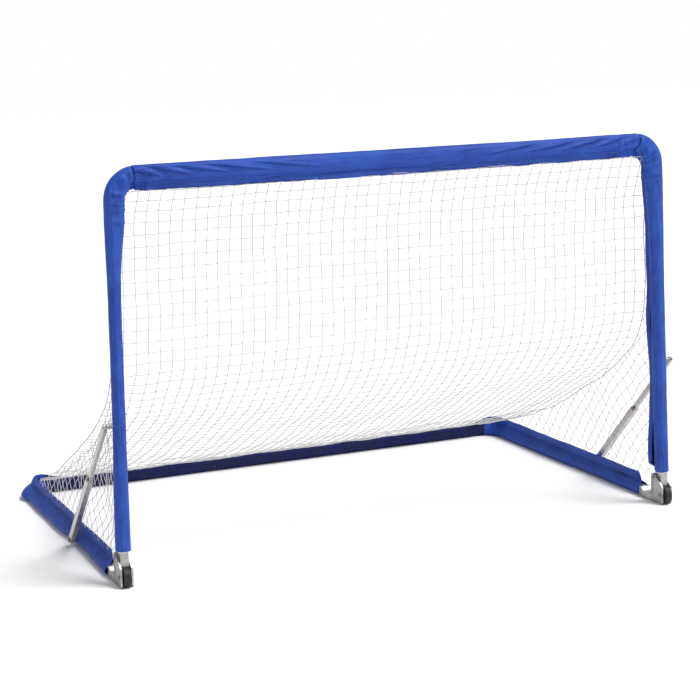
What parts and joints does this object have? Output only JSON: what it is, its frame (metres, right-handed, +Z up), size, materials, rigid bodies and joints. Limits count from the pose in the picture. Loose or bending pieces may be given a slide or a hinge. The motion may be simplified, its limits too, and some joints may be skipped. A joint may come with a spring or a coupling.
{
  "type": "pop up goal",
  "caption": "Folding ball-game goal on a U-shaped tube base: round tubes in fabric sleeves, net, hinged front frame, folding side stays and a wheel in each foot.",
  "frame": {"origin": "middle of the footprint, on the ground", "axes": "+X across the mouth towards the right post, +Y from the mouth back to the back rail, +Z up"},
  "size_m": [1.9142, 1.256, 1.211],
  "materials": {
    "aluminium": "mill finish",
    "cast": "as cast, tumbled",
    "blue": "woven polyester, stitched",
    "net": "knotted cord",
    "rubber": "matte",
    "plastic": "moulded",
    "stay": "zinc plated",
    "steel": "zinc plated"
  },
  "bodies": {
    "base": {"back_rail_tube": "aluminium", "back_rail_sleeve": "blue", "rail_rivets": "steel", "net_back": "net", "net_left": "net", "net_right": "net", "left_rail_tube": "aluminium", "left_rail_coupler": "aluminium", "left_rail_sleeve": "blue", "left_foot": "cast", "left_hinge_pin": "steel", "left_wheel_axle": "steel", "left_rail_bolt": "steel", "left_rail_spacer": "plastic", "right_rail_tube": "aluminium", "right_rail_coupler": "aluminium", "right_rail_sleeve": "blue", "right_foot": "cast", "right_hinge_pin": "steel", "right_wheel_axle": "steel", "right_rail_bolt": "steel", "right_rail_spacer": "plastic"},
    "front_frame": {"crossbar_tube": "aluminium", "crossbar_sleeve": "blue", "frame_rivets": "steel", "left_post_tube": "aluminium", "left_bar_coupler": "aluminium", "left_post_sleeve": "blue", "left_hinge_fitting": "cast", "left_post_stud": "steel", "right_post_tube": "aluminium", "right_bar_coupler": "aluminium", "right_post_sleeve": "blue", "right_hinge_fitting": "cast", "right_post_stud": "steel"},
    "left_wheel": {"left_wheel_hub": "plastic", "left_wheel_tyre": "rubber"},
    "left_lower_link": {"left_lower_link": "stay", "left_knee_pin": "steel"},
    "left_upper_link": {"left_upper_link": "stay", "left_upper_link_pin": "steel"},
    "right_wheel": {"right_wheel_hub": "plastic", "right_wheel_tyre": "rubber"},
    "right_lower_link": {"right_lower_link": "stay", "right_knee_pin": "steel"},
    "right_upper_link": {"right_upper_link": "stay", "right_upper_link_pin": "steel"}
  },
  "joints": [
    {"name": "fold", "type": "hinge", "parent": "base", "child": "front_frame", "pos_m": [0, -0.56, 0.085], "axis": [-1, 0, 0], "range_deg": [0, 90], "deforming": ["net_back", "net_left", "net_right"]},
    {"name": "left_wheel_spin", "type": "hinge", "parent": "base", "child": "left_wheel", "pos_m": [-0.9145, -0.598, 0.0302], "axis": [1, 0, 0], "continuous": true},
    {"name": "left_stay_swing", "type": "hinge", "parent": "base", "child": "left_lower_link", "pos_m": [-0.945, -0.098, 0.02], "axis": [1, 0, 0], "range_deg": [0, 36.51]},
    {"name": "left_stay_knee", "type": "hinge", "parent": "left_lower_link", "child": "left_upper_link", "pos_m": [-0.945, -0.36561, 0.27213], "axis": [-1, 0, 0], "range_deg": [0, 164.8]},
    {"name": "right_wheel_spin", "type": "hinge", "parent": "base", "child": "right_wheel", "pos_m": [0.9145, -0.598, 0.0302], "axis": [1, 0, 0], "continuous": true},
    {"name": "right_stay_swing", "type": "hinge", "parent": "base", "child": "right_lower_link", "pos_m": [0.945, -0.098, 0.02], "axis": [1, 0, 0], "range_deg": [0, 36.51]},
    {"name": "right_stay_knee", "type": "hinge", "parent": "right_lower_link", "child": "right_upper_link", "pos_m": [0.945, -0.36561, 0.27213], "axis": [-1, 0, 0], "range_deg": [0, 164.8]}
  ],
  "couplings": [
    {"joint": "left_stay_swing", "follows": "fold", "ratio": 0.40555},
    {"joint": "left_stay_knee", "follows": "fold", "ratio": 1.831},
    {"joint": "right_stay_swing", "follows": "fold", "ratio": 0.40555},
    {"joint": "right_stay_knee", "follows": "fold", "ratio": 1.831}
  ]
}
